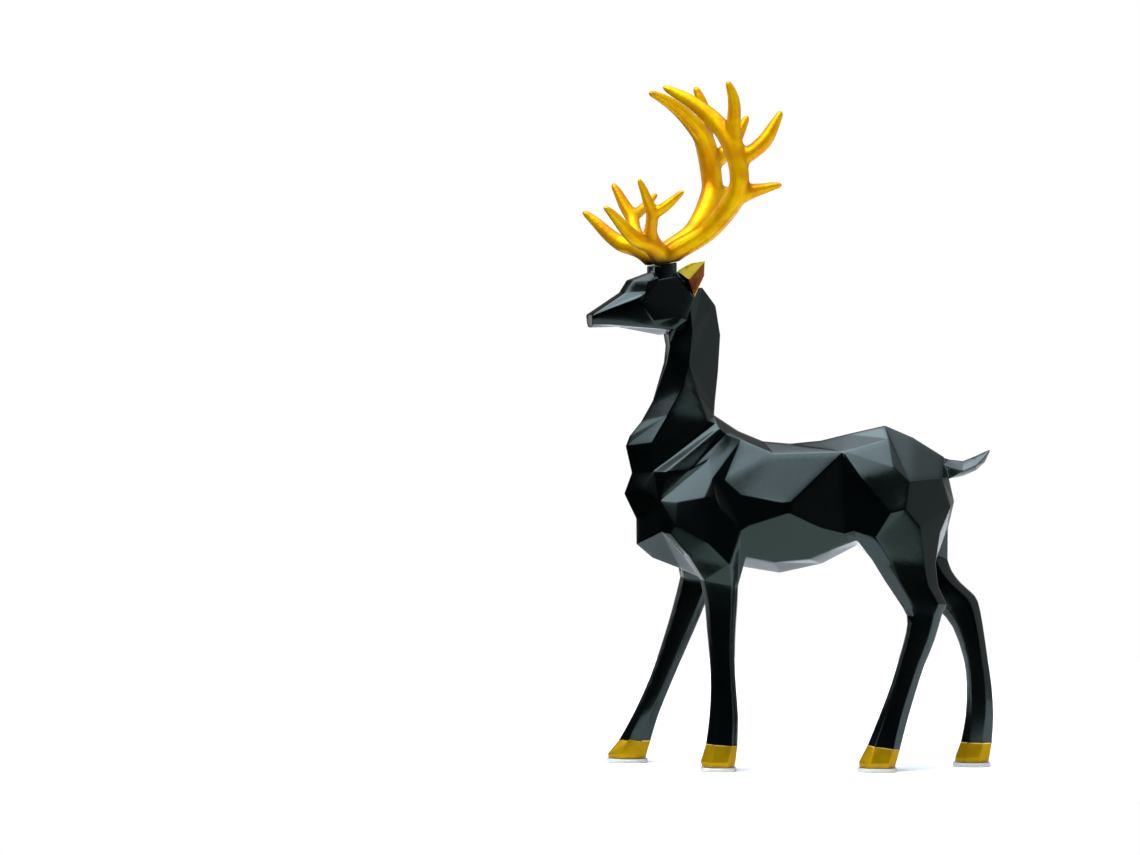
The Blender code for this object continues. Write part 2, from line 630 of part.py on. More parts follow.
def make_head():
    """Skull and muzzle as one closed shell."""
    mesh = bmesh.new()
    seam = set(HEAD_STRIP.split())
    sides = {}
    for side in (LEFT, RIGHT):
        points = flattened(HEAD, seam, {}, HEAD_FACETS, partial(on_head, side=side))
        sides[side] = {name: mesh.verts.new(point) for name, point in points.items()}
        add_faces(mesh, sides[side], HEAD_FACETS)
    add_strip(mesh, sides[LEFT], sides[RIGHT], HEAD_STRIP)
    return finish_mesh(mesh, "head", "lacquer")


def make_ear(side):
    """One folded ear, open to the front."""
    mesh = bmesh.new()
    corners = {}
    for name, (forward, out, z) in EAR.items():
        corners[name] = mesh.verts.new(on_head(forward, out, z - EAR_DROP[side], side))
    add_faces(mesh, corners, EAR_FACETS)
    return finish_mesh(mesh, "ear", "lacquer")


def pedicle_top(along):
    """Forward place and height on the pedicle's sloping top, from its front edge (0) to its rear (1)."""
    front, rear = PEDICLE_FRONT, PEDICLE_REAR
    return front[0] + (rear[0] - front[0]) * along, front[1] + (rear[1] - front[1]) * along


def make_pedicle(side):
    """Short eight-sided post that carries an antler."""
    mesh = bmesh.new()
    near, far, wide = PEDICLE_CORNER, 1 - PEDICLE_CORNER, PEDICLE_SIDE
    shape = ((near, 1), (far, 1), (1, wide), (1, -wide), (far, -1), (near, -1), (0, -wide), (0, wide))
    rings = []
    for drop in (0.0, PEDICLE_DEPTH):
        ring = []
        for along, width in shape:
            forward, height = pedicle_top(along)
            out = PEDICLE_OUT + PEDICLE_HALF * width
            ring.append(mesh.verts.new(on_head(forward, out, height - drop, side)))
        rings.append(ring)
    for index in range(len(shape)):
        after = (index + 1) % len(shape)
        mesh.faces.new([rings[0][index], rings[0][after], rings[1][after], rings[1][index]])
    mesh.faces.new(rings[0])
    mesh.faces.new(rings[1])
    return finish_mesh(mesh, "pedicle", "lacquer")


def make_tail():
    """Short tail of four-sided sections, curling up to a point."""
    mesh = bmesh.new()
    before = None
    for x, top, edge, under, half in TAIL:
        ring = [
            mesh.verts.new(turned(x, 0.0, top, LEFT)),
            mesh.verts.new(turned(x, half, edge, LEFT)),
            mesh.verts.new(turned(x, 0.0, under, LEFT)),
            mesh.verts.new(turned(x, half, edge, RIGHT)),
        ]
        if before is None:
            mesh.faces.new(ring)
        else:
            for index in range(4):
                after = (index + 1) % 4
                mesh.faces.new([before[index], before[after], ring[after], ring[index]])
        before = ring
    mesh.faces.new(before)
    return finish_mesh(mesh, "tail", "lacquer")


def apply_modifiers(item):
    """Replace an object's mesh with what its modifiers make of it."""
    bpy.context.view_layer.update()
    graph = bpy.context.evaluated_depsgraph_get()
    data = bpy.data.meshes.new_from_object(item.evaluated_get(graph))
    item.modifiers.clear()
    old = item.data
    item.data = data
    bpy.data.meshes.remove(old)


def join_onto(item, extra):
    """Union a second closed solid into the first and remove it."""
    union = item.modifiers.new("union", "BOOLEAN")
    union.operation = "UNION"
    union.solver = "EXACT"
    union.object = extra
    apply_modifiers(item)
    bpy.data.objects.remove(extra, do_unlink=True)


def make_body():
    """The whole casting: torso and legs, head, ears, pedicles and tail."""
    body = make_torso()
    join_onto(body, make_head())
    for side in (LEFT, RIGHT):
        join_onto(body, make_pedicle(side))
        join_onto(body, make_ear(side))
    join_onto(body, make_tail())
    return body


def smooth_run(stations, steps):
    """Rows of numbers eased through the given stations, so many steps from one to the next."""
    rows = [Vector(station) for station in stations]
    rows = [rows[0] * 2 - rows[1]] + rows + [rows[-1] * 2 - rows[-2]]
    run = []
    for one, two, three, four in zip(rows, rows[1:], rows[2:], rows[3:]):
        for step in range(steps):
            t = step / steps
            bend = (2 * one - 5 * two + 4 * three - four) * t ** 2
            twist = (3 * two - one - 3 * three + four) * t ** 3
            run.append((2 * two + (three - one) * t + bend + twist) / 2)
    run.append(rows[-2])
    return run


def add_branch(mesh, stations, side):
    """Tapering round branch with a rounded tip."""
    run = smooth_run(stations, BRANCH_STEPS)
    centres = [on_head(*tuple(row)[:3], side) for row in run]
    radii = [(row[3] + BRANCH_SWELL) * UNIT for row in run]
    end, thickness = centres[-1], radii[-1]
    onward = (centres[-1] - centres[-2]).normalized()
    for distance, shrink in TIP_ROUNDING:
        centres.append(end + onward * thickness * distance)
        radii.append(thickness * shrink)
    rings = []
    for index, (centre, radius) in enumerate(zip(centres, radii)):
        before = centres[max(0, index - 1)]
        after = centres[min(len(centres) - 1, index + 1)]
        along = (after - before).normalized()
        first = along.cross(Vector((0, 1, 0))).normalized()
        second = along.cross(first)
        ring = []
        for turn in range(BRANCH_SIDES):
            angle = math.tau * turn / BRANCH_SIDES
            spoke = first * math.cos(angle) + second * math.sin(angle)
            ring.append(mesh.verts.new(centre + spoke * radius))
        rings.append(ring)
    skin_rings(mesh, rings)


def skin_rings(mesh, rings):
    """Closed skin over a run of rings that have as many corners each."""
    for lower, upper in zip(rings, rings[1:]):
        for index in range(len(lower)):
            after = (index + 1) % len(lower)
            mesh.faces.new([lower[index], lower[after], upper[after], upper[index]])
    mesh.faces.new(rings[0])
    mesh.faces.new(rings[-1])


def shade_round(data):
    """Smooth shading that keeps the sharp rims."""
    data.shade_smooth()
    data.set_sharp_from_angle(angle=ROUND_EDGE)


def antler_seat(side):
    """Point and upward direction of the plane that an antler is cut to, just clear of its pedicle."""
    edges = []
    for along in (0.0, 1.0):
        forward, height = pedicle_top(along)
        edges.append(on_head(forward, PEDICLE_OUT, height, side))
    slope = edges[0] - edges[1]
    level = Vector((-slope.y, slope.x, 0))
    upright = slope.cross(level).normalized()
    if upright.z < 0:
        upright.negate()
    return (edges[0] + edges[1]) / 2 + upright * SEAT_GAP, upright


def make_antler(name, side):
    """Branches melted into one smooth solid, cut flat just above the pedicle."""
    branches = dict(LEFT_ANTLER)
    if side == RIGHT:
        branches.update(RIGHT_ANTLER)
    mesh = bmesh.new()
    for stations in branches.values():
        add_branch(mesh, stations, side)
    antler = finish_mesh(mesh, name, "gilding")
    melt = antler.modifiers.new("melt", "REMESH")
    melt.mode = "VOXEL"
    melt.voxel_size = ANTLER_GRAIN
    ease = antler.modifiers.new("ease", "SMOOTH")
    ease.factor = ANTLER_SOFTENING
    ease.iterations = ANTLER_PASSES
    apply_modifiers(antler)
    thin = antler.modifiers.new("thin", "DECIMATE")
    thin.ratio = ANTLER_FACES / sum(len(face.vertices) - 2 for face in antler.data.polygons)
    apply_modifiers(antler)

    mesh = bmesh.new()
    mesh.from_mesh(antler.data)
    place, upright = antler_seat(side)
    cut = bmesh.ops.bisect_plane(
        mesh, geom=mesh.verts[:] + mesh.edges[:] + mesh.faces[:], plane_co=place, plane_no=upright,
        clear_inner=True)
    edges = [item for item in cut["geom_cut"] if isinstance(item, bmesh.types.BMEdge)]
    bmesh.ops.holes_fill(mesh, edges=edges, sides=0)
    mesh.to_mesh(antler.data)
    mesh.free()
    shade_round(antler.data)
    return antler


def make_pad(name, sole, side):
    """Oval pad a little larger than the hoof's sole."""
    front_x, _, rear_x, _, middle, half, _, _ = sole
    length = (rear_x - front_x) * UNIT / 2 + PAD_MARGIN
    width = half * UNIT + PAD_MARGIN
    centre = Vector(((front_x + rear_x) / 2 * UNIT, -side * middle * UNIT, 0))
    levels = ((0.0, PAD_EDGE), (PAD_EDGE, 0.0), (PAD_THICKNESS - PAD_EDGE, 0.0), (PAD_THICKNESS, PAD_EDGE))
    mesh = bmesh.new()
    rings = []
    for height, inset in levels:
        ring = []
        for turn in range(PAD_SIDES):
            angle = math.tau * turn / PAD_SIDES
            x, y = (math.copysign(abs(c) ** PAD_SQUARENESS, c) for c in (math.cos(angle), math.sin(angle)))
            ring.append(mesh.verts.new(centre + Vector((x * (length - inset), y * (width - inset), height))))
        rings.append(ring)
    skin_rings(mesh, rings)
    pad = finish_mesh(mesh, name, "pad")
    shade_round(pad.data)
    return pad


def centre_on_ground(items):
    """Put the middle of the whole statuette's outline over the origin and its pads on the ground."""
    points = [item.matrix_world @ vert.co for item in items for vert in item.data.vertices]
    low = [min(point[axis] for point in points) for axis in range(3)]
    high = [max(point[axis] for point in points) for axis in range(3)]
    shift = Matrix.Translation((-(low[0] + high[0]) / 2, -(low[1] + high[1]) / 2, -low[2]))
    for item in items:
        item.data.transform(shift)


def main():
    clear_scene()
    body = make_body()
    antlers = [make_antler("antler_left", LEFT), make_antler("antler_right", RIGHT)]
    pads = [
        make_pad("pad_fore_left", FORE_LEFT[-1], LEFT),
        make_pad("pad_fore_right", FORE_RIGHT[-1], RIGHT),
        make_pad("pad_hind_left", HIND_LEFT[-1], LEFT),
        make_pad("pad_hind_right", HIND_RIGHT[-1], RIGHT),
    ]
    centre_on_ground([body] + antlers + pads)


main()
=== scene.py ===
import math

import bmesh
import bpy
import numpy as np
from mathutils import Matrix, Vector


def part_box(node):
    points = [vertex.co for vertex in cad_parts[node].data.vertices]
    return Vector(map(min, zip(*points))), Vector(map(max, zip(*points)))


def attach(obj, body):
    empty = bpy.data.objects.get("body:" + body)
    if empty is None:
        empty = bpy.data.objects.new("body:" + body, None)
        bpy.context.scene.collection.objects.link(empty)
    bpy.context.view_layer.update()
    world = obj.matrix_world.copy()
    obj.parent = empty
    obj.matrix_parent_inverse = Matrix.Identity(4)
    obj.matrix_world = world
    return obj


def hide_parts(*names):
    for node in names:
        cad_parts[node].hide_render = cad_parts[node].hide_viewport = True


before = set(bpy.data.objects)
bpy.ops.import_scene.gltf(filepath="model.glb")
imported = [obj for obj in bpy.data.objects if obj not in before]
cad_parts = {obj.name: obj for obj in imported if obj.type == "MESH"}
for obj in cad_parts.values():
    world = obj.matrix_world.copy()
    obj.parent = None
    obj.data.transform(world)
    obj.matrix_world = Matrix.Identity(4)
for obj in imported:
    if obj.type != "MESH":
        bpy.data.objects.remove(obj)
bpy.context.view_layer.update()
mm = 0.001
print("frame loaded:", len(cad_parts), "nodes")


# Colour and node helpers

def linearColour(hexColour):
    # sRGB hex to the linear values that Blender's sockets take
    parts = [int(hexColour[i:i + 2], 16) / 255 for i in (1, 3, 5)]
    return tuple(p / 12.92 if p <= 0.04045 else ((p + 0.055) / 1.055) ** 2.4 for p in parts) + (1.0,)


def addNode(tree, kind, settings=None, inputs=None, links=None):
    # one node with its settings, its plain inputs and the sockets that feed it
    node = tree.nodes.new(kind)
    for name, value in (settings or {}).items():
        setattr(node, name, value)
    for name, value in (inputs or {}).items():
        node.inputs[name].default_value = value
    for name, source in (links or {}).items():
        tree.links.new(source, node.inputs[name])
    return node


def newMaterial(name, sockets):
    material = bpy.data.materials.new(name)
    material.use_nodes = True
    shader = material.node_tree.nodes["Principled BSDF"]
    for socket, value in sockets.items():
        shader.inputs[socket].default_value = value
    return material, material.node_tree, shader


def perMetre(sizeInMm):
    # pattern scale for a feature of that size, as object coordinates are metres
    return 1000 / sizeInMm


# Camera, at the photograph's viewpoint; its place is measured from the middle of the near forehoof's pad

view = {
    "fromPad": (99.6 * mm, -1982.7 * mm, 212.6 * mm),
    "downTilt": 1.676,      # degrees below level
    "turn": 4.8,            # degrees to the left of square on
    "lens": 139.7,          # mm on a 36 mm sensor, 1140 x 855
}
padLow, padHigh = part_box("pad_fore_left")
padMiddle = Vector(((padLow[0] + padHigh[0]) / 2, (padLow[1] + padHigh[1]) / 2, 0))

cameraData = bpy.data.cameras.new("camera")
cameraData.lens = view["lens"]
cameraData.sensor_width = 36
cameraData.clip_end = 50
camera = bpy.data.objects.new("camera", cameraData)
camera.location = padMiddle + Vector(view["fromPad"])
camera.rotation_euler = (math.radians(90 - view["downTilt"]), 0, math.radians(view["turn"]))
bpy.context.scene.collection.objects.link(camera)
bpy.context.scene.camera = camera
print("camera placed")


# Studio: a small white table, one big soft box up on the left, softer light overhead, a white floor
# lower down in front and to the right, a pale wall on the right, a pale screen behind on the left, and dark
# all else that the lacquer mirrors

studio = {
    "tableColour": "#EBECEC",
    "tableLeft": -0.23, "tableRight": 0.50, "tableFront": -0.12, "tableBack": 0.60,
    "boxAzimuth": -44, "boxHeight": 53,     # degrees, from the camera's side towards the deer's head, and up
    "boxInner": 21, "boxOuter": 42,         # degrees from its middle where it starts to fade and is gone
    "boxStrength": 6.0, "boxColour": "#EEF5FF",
    # the sine of the height at which each of these starts and is full
    "skyFrom": 0.72, "skyTo": 1.04, "skyStrength": 4.4,
    "floorFrom": -0.17, "floorTo": -0.28, "floorStrength": 1.7, "floorColour": "#E4F6F0",
    # the cosine of the angle from their own direction at which these start and are full
    "floorToward": (0.766, -0.643, 0.0), "floorSideFrom": -0.05, "floorSideTo": 0.35,
    "wallToward": (0.95, 0.3, 0.0), "wallFrom": -0.1, "wallTo": 0.8, "wallStrength": 0.6,
    "screenToward": (-0.819, 0.574, 0.0), "screenFrom": 0.80, "screenTo": 0.95, "screenStrength": 0.8,
}


def makeStudio():
    tableMesh = bpy.data.meshes.new("studioTable")
    left, right, front, back = (studio["table" + side] for side in ("Left", "Right", "Front", "Back"))
    corners = [(left, front, 0), (right, front, 0), (right, back, 0), (left, back, 0)]
    tableMesh.from_pydata(corners, [], [(0, 1, 2, 3)])
    table = bpy.data.objects.new("studioTable", tableMesh)
    bpy.context.scene.collection.objects.link(table)
    # matte white paper, which takes the soft shadows and shows in the lacquer
    paper = newMaterial("matte paper sweep", {
        "Base Color": linearColour(studio["tableColour"]), "Roughness": 0.9, "Specular IOR Level": 0.1})[0]
    tableMesh.materials.append(paper)

    world = bpy.data.worlds.new("studioRoom")
    bpy.context.scene.world = world
    world.use_nodes = True
    tree = world.node_tree
    tree.nodes.clear()
    out = addNode(tree, "ShaderNodeOutputWorld")
    toward = addNode(tree, "ShaderNodeTexCoord").outputs["Generated"]
    upward = addNode(tree, "ShaderNodeSeparateXYZ", links={"Vector": toward}).outputs["Z"]
    azimuth, height = math.radians(studio["boxAzimuth"]), math.radians(studio["boxHeight"])
    boxLevel = math.cos(height)
    boxMiddle = (boxLevel * math.sin(azimuth), -boxLevel * math.cos(azimuth), math.sin(height))
    boxCosines = [math.cos(math.radians(studio[name])) for name in ("boxOuter", "boxInner")]

    def along(direction):
        return addNode(tree, "ShaderNodeVectorMath", {"operation": "DOT_PRODUCT"}, {1: direction},
                       {0: toward}).outputs["Value"]

    def fadeIn(measure, start, end, strength):
        # nothing at the start value of the measure, the full strength at the end value
        return addNode(tree, "ShaderNodeMapRange", {"interpolation_type": "SMOOTHSTEP"},
                       {"From Min": start, "From Max": end, "To Max": strength},
                       {"Value": measure}).outputs["Result"]

    def glow(strength, colour):
        return addNode(tree, "ShaderNodeBackground", inputs={"Color": linearColour(colour)},
                       links={"Strength": strength}).outputs[0]

    def together(one, two):
        return addNode(tree, "ShaderNodeAddShader", links={0: one, 1: two}).outputs[0]

    box = glow(fadeIn(along(boxMiddle), *boxCosines, studio["boxStrength"]), studio["boxColour"])
    sky = glow(fadeIn(upward, studio["skyFrom"], studio["skyTo"], studio["skyStrength"]), studio["boxColour"])
    room = together(box, sky)
    for name in ("wall", "screen"):
        start, end, strength = (studio[name + part] for part in ("From", "To", "Strength"))
        room = together(room, glow(fadeIn(along(studio[name + "Toward"]), start, end, strength), "#FFFFFF"))
    floorSide = fadeIn(along(studio["floorToward"]), studio["floorSideFrom"], studio["floorSideTo"], 1.0)
    floorLow = fadeIn(upward, studio["floorFrom"], studio["floorTo"], studio["floorStrength"])
    floor = glow(addNode(tree, "ShaderNodeMath", {"operation": "MULTIPLY"},
                         links={0: floorSide, 1: floorLow}).outputs[0], studio["floorColour"])
    room = together(room, floor)
    plain = addNode(tree, "ShaderNodeBackground", inputs={"Color": linearColour("#FFFFFF")}).outputs[0]
    isCamera = addNode(tree, "ShaderNodeLightPath").outputs["Is Camera Ray"]
    mixed = addNode(tree, "ShaderNodeMixShader", links={0: isCamera, 1: room, 2: plain}).outputs[0]
    tree.links.new(mixed, out.inputs["Surface"])
    bpy.context.scene.view_settings.view_transform = "Standard"


makeStudio()
print("studio lit")


# Materials

def makeLacquer():
    # black lacquer sprayed on cast resin: deep black, cool mirror-like facets that are faintly blurred,
    # and an orange peel about 2 mm wide that makes the reflections waver
    look = {"black": "#010202", "bluish": "#020404", "tint": "#DCF4F2", "cloudMm": 28,
            "clearest": 0.11, "haziest": 0.18, "peelMm": 2.4, "peelStrength": 0.05, "peelDepth": 0.2 * mm}
    material, tree, shader = newMaterial("gloss black lacquer", {
        "IOR": 1.5, "Specular Tint": linearColour(look["tint"])})
    place = addNode(tree, "ShaderNodeTexCoord").outputs["Object"]
    cloud = addNode(tree, "ShaderNodeTexNoise", inputs={"Scale": perMetre(look["cloudMm"]), "Detail": 3.0},
                    links={"Vector": place})
    tone = addNode(tree, "ShaderNodeMix", {"data_type": "RGBA"}, links={0: cloud.outputs["Fac"]})
    tone.inputs["A"].default_value = linearColour(look["black"])
    tone.inputs["B"].default_value = linearColour(look["bluish"])
    tree.links.new(tone.outputs["Result"], shader.inputs["Base Color"])
    haze = addNode(tree, "ShaderNodeMapRange", links={"Value": cloud.outputs["Fac"]},
                   inputs={"To Min": look["clearest"], "To Max": look["haziest"]})
    tree.links.new(haze.outputs["Result"], shader.inputs["Roughness"])
    peel = addNode(tree, "ShaderNodeTexNoise", inputs={"Scale": perMetre(look["peelMm"]), "Detail": 1.0},
                   links={"Vector": place})
    bump = addNode(tree, "ShaderNodeBump",
                   inputs={"Strength": look["peelStrength"], "Distance": look["peelDepth"]},
                   links={"Height": peel.outputs["Fac"]})
    tree.links.new(bump.outputs["Normal"], shader.inputs["Normal"])
    return material


def makeFlakeEnamel(name, light, deep):
    # metal-flake enamel brushed on the hooves and inside the ears: amber, glossy, with brush streaks that are
    # drawn about 5 mm wide, coarser than the real ones, so that they show
    look = {"edge": "#E8B860", "metallic": 0.6, "roughness": 0.3, "streakMm": 5}
    material, tree, shader = newMaterial(name, {
        "Metallic": look["metallic"], "Roughness": look["roughness"],
        "Specular Tint": linearColour(look["edge"])})
    place = addNode(tree, "ShaderNodeTexCoord").outputs["Object"]
    cloud = addNode(tree, "ShaderNodeTexNoise", inputs={"Scale": perMetre(look["streakMm"]), "Detail": 4.0},
                    links={"Vector": place})
    tone = addNode(tree, "ShaderNodeMix", {"data_type": "RGBA"}, links={0: cloud.outputs["Fac"]})
    tone.inputs["A"].default_value = linearColour(deep)
    tone.inputs["B"].default_value = linearColour(light)
    tree.links.new(tone.outputs["Result"], shader.inputs["Base Color"])
    return material


def makeSatinGold(name, node):
    # gold paint sprayed on the cast antlers: warm satin metal that drifts between lemon and orange,
    # browner in the folds from painted shade, and dark at the root
    look = {"lemon": "#D8A602", "orange": "#CC8606", "fold": "#844404", "root": "#140A04", "edge": "#A87420",
            "metallic": 0.4, "roughness": 0.32, "driftMm": 9, "driftFrom": 0.38, "driftTo": 0.62,
            "rootTop": 6.5 * mm, "rootDark": 1.0 * mm}
    material, tree, shader = newMaterial(name, {
        "Metallic": look["metallic"], "Roughness": look["roughness"],
        "Specular Tint": linearColour(look["edge"])})
    place = addNode(tree, "ShaderNodeTexCoord").outputs["Object"]
    foldShadeShare = addNode(tree, "ShaderNodeAttribute", {"attribute_name": "fold"})
    cloud = addNode(tree, "ShaderNodeTexNoise", inputs={"Scale": perMetre(look["driftMm"]), "Detail": 4.0},
                    links={"Vector": place})
    drift = addNode(tree, "ShaderNodeMapRange", links={"Value": cloud.outputs["Fac"]},
                    inputs={"From Min": look["driftFrom"], "From Max": look["driftTo"]})
    tone = addNode(tree, "ShaderNodeMix", {"data_type": "RGBA"}, links={0: drift.outputs["Result"]})
    tone.inputs["A"].default_value = linearColour(look["orange"])
    tone.inputs["B"].default_value = linearColour(look["lemon"])
    # painted shade: the folds' brown laid over the gold where the surface is hollow
    folded = addNode(tree, "ShaderNodeMix", {"data_type": "RGBA"},
                     links={0: foldShadeShare.outputs["Fac"], "A": tone.outputs["Result"]})
    folded.inputs["B"].default_value = linearColour(look["fold"])
    # the gold fades out over the last few millimetres above the pedicle
    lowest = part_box(node)[0].z
    split = addNode(tree, "ShaderNodeSeparateXYZ", links={"Vector": place})
    fade = addNode(tree, "ShaderNodeMapRange", {"interpolation_type": "SMOOTHSTEP"},
                   inputs={"From Min": lowest + look["rootTop"], "From Max": lowest + look["rootDark"]},
                   links={"Value": split.outputs["Z"]})
    rooted = addNode(tree, "ShaderNodeMix", {"data_type": "RGBA"},
                     links={0: fade.outputs["Result"], "A": folded.outputs["Result"]})
    rooted.inputs["B"].default_value = linearColour(look["root"])
    tree.links.new(rooted.outputs["Result"], shader.inputs["Base Color"])
    return material


def makeClearPad():
    # moulded clear polyurethane: milky, glossy, with light gathering in its rim and faint dust
    look = {"milky": "#EFF0EE", "clearness": 0.55, "dustMm": 1.5, "cleanest": 0.16, "dustiest": 0.32}
    material, tree, shader = newMaterial("clear polyurethane", {
        "Base Color": linearColour(look["milky"]), "IOR": 1.49, "Transmission Weight": look["clearness"]})
    place = addNode(tree, "ShaderNodeTexCoord").outputs["Object"]
    dust = addNode(tree, "ShaderNodeTexNoise", inputs={"Scale": perMetre(look["dustMm"]), "Detail": 2.0},
                   links={"Vector": place})
    haze = addNode(tree, "ShaderNodeMapRange", links={"Value": dust.outputs["Fac"]},
                   inputs={"To Min": look["cleanest"], "To Max": look["dustiest"]})
    tree.links.new(haze.outputs["Result"], shader.inputs["Roughness"])
    return material


lacquer = makeLacquer()
enamel = makeFlakeEnamel("gold flake enamel", "#AE8604", "#7E6204")
# the gold inside the ears comes in two copies: a lighter one with painted light for the front facet and a
# darker bronze one with painted shade for the back facet
litEarEnamel = makeFlakeEnamel("ear gold flake enamel with painted light", "#D2B43C", "#A8881E")
shadedEarEnamel = makeFlakeEnamel("ear gold flake enamel with painted shade", "#7C4626", "#521F12")
# a pale gold band that paints the highlight along the rounded border where the enamel ends
highlightRimGold = makeFlakeEnamel("gold rim with painted highlight", "#F0D078", "#E0B440")
clearPad = makeClearPad()
print("materials made")


# Shared mesh steps

weldReach = 0.002 * mm      # points closer than this are one


def copyNode(node, name):
    # a working copy of a CAD node's mesh, welded, with no materials
    mesh = bmesh.new()
    mesh.from_mesh(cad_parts[node].data)
    bmesh.ops.remove_doubles(mesh, verts=mesh.verts[:], dist=weldReach)
    data = bpy.data.meshes.new(name)
    piece = bpy.data.objects.new(name, data)
    bpy.context.scene.collection.objects.link(piece)
    return piece, mesh


def bake(piece):
    # replace the mesh with what the modifiers make of it
    bpy.context.view_layer.update()
    graph = bpy.context.evaluated_depsgraph_get()
    data = bpy.data.meshes.new_from_object(piece.evaluated_get(graph))
    piece.modifiers.clear()
    old = piece.data
    piece.data = data
    bpy.data.meshes.remove(old)
    data.name = piece.name


def settle(piece, node):
    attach(piece, "root")
    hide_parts(node)


def readVectors(items, name):
    values = np.empty(len(items) * 3, np.float32)
    items.foreach_get(name, values)
    return values.reshape(-1, 3).astype(float)


def edgeEnds(data):
    ends = np.empty(len(data.edges) * 2, np.int32)
    data.edges.foreach_get("vertices", ends)
    return ends.reshape(-1, 2).T


def neighbourSum(values, ends):
    # sum of each vertex's neighbours, for one number or a row of numbers a vertex
    one, two = ends
    if values.ndim == 1:
        return np.bincount(one, values[two], len(values)) + np.bincount(two, values[one], len(values))
    return np.stack([neighbourSum(column, ends) for column in values.T], 1)


def eased(values, ends, passes, share=0.6):
    # each value drawn towards the mean of its neighbours
    links = np.maximum(neighbourSum(np.ones(len(values)), ends), 1)
    if values.ndim == 2:
        links = links[:, None]
    for _ in range(passes):
        values = values + share * (neighbourSum(values, ends) / links - values)
    return values


# The lacquered casting

casting = {
    "goldLine": 10.8 * mm,            # faces whose middle is below this are gold hoof,
    "soleDown": 0.9,                  # but not the sole, whose faces look down at least this much
    "pivotFromPad": (-12.53 * mm, 17.98 * mm),      # where the head turns, seen from the near forehoof's pad
    "headTurn": math.radians(15.5),
    "earAbove": 205 * mm,             # the ears lie above this height,
    "earBehind": 8 * mm,              # behind this distance forward of the head's pivot,
    "earOutside": 11.5 * mm,          # and farther out than this
    "earForward": 0.2,                # their inner faces look forward at least this much
    "earOutward": 0.8,                # and outward at least this much,
    "earLitShadedSplit": 2 * mm,               # and are gold with painted light in front of this and a darker bronze with painted shade behind it
    "sliver": 0.05 * mm,              # edges shorter than this are closed up
    "facetSpread": math.radians(9),   # faces that lean less than this from their facet's mean belong to it
    "sharp": math.radians(3),         # facets that meet at a smaller bend than this run into each other
    "edgeRound": 0.45 * mm,           # how far the rounding of an edge reaches into the facets
    "edgeShare": 0.3,                 # but never more than this share of a facet's width
    "edgeSteps": 3,                   # faces across the rounding
    "highlightRim": 0.2 * mm,                  # how far the painted highlight along the enamel's border reaches to each side of it
    "longest": 3.5 * mm,              # edges longer than this are halved, so that facets can shade softly,
    "halvings": 4,                    # at most so many times
    "softness": 3,                    # rounds of easing the normals, so that facets swell at their rims
    "easeShare": 0.5,                 # how far each round draws a normal towards those beside it
}
finishes = {"lacquer": lacquer, "hoof": enamel, "earShadedBack": shadedEarEnamel, "highlightRim": highlightRimGold, "earLitFront": litEarEnamel}
paint = {name: number for number, name in enumerate(finishes)}


def inHead(vector, isPoint):
    # how far forward and out, in the turned head's own directions
    x, y = vector.x, vector.y
    if isPoint:
        x -= padMiddle.x + casting["pivotFromPad"][0]
        y -= padMiddle.y + casting["pivotFromPad"][1]
    c, s = math.cos(-casting["headTurn"]), math.sin(-casting["headTurn"])
    return -(x * c - y * s), x * s + y * c


def paintOf(face):
    # which finish a face has, from where it lies and which way it looks
    middle = face.calc_center_median()
    if middle.z < casting["goldLine"]:
        isSole = face.normal.z < -casting["soleDown"]
        return paint["lacquer"] if isSole else paint["hoof"]
    forward, across = inHead(middle, True)
    facingForward, facingAcross = inHead(face.normal, False)
    outward = facingAcross * (1 if across > 0 else -1)
    isBack = middle.z > casting["earAbove"] and forward < casting["earBehind"]
    isEar = isBack and abs(across) > casting["earOutside"]
    isInside = facingForward > casting["earForward"] and outward > casting["earOutward"]
    # inside the ear, the front gets the copy with painted light and the back the copy with painted shade
    if isEar and isInside:
        return paint["earLitFront"] if forward > casting["earLitShadedSplit"] else paint["earShadedBack"]
    return paint["lacquer"]


def growFacets(mesh):
    # lists of neighbouring faces of one paint that together make one facet, starting from the largest
    taken, facets = set(), []
    limit = math.cos(casting["facetSpread"])
    for seed in sorted(mesh.faces, key=lambda face: -face.calc_area()):
        if seed in taken:
            continue
        taken.add(seed)
        facet, lean, border = [seed], seed.normal * seed.calc_area(), [seed]
        while border:
            for edge in border.pop().edges:
                for face in edge.link_faces:
                    alike = face.material_index == seed.material_index
                    if face not in taken and alike and face.normal.dot(lean.normalized()) > limit:
                        taken.add(face)
                        facet.append(face)
                        border.append(face)
                        lean = lean + face.normal * face.calc_area()
        facets.append(facet)
    return facets


def softNormals(data):
    # a normal for each vertex, led by the large faces beside it and then eased over its neighbourhood
    areas = np.empty(len(data.polygons), np.float32)
    data.polygons.foreach_get("area", areas)
    counts = np.empty(len(data.polygons), np.int32)
    data.polygons.foreach_get("loop_total", counts)
    corners = np.empty(len(data.loops), np.int32)
    data.loops.foreach_get("vertex_index", corners)
    leaning = np.repeat(readVectors(data.polygons, "normal") * areas[:, None], counts, axis=0)
    total = np.stack([np.bincount(corners, column, len(data.vertices)) for column in leaning.T], 1)
    normals = total / np.maximum(np.linalg.norm(total, axis=1), 1e-18)[:, None]
    normals = eased(normals, edgeEnds(data), casting["softness"], casting["easeShare"])
    return normals / np.maximum(np.linalg.norm(normals, axis=1), 1e-9)[:, None]


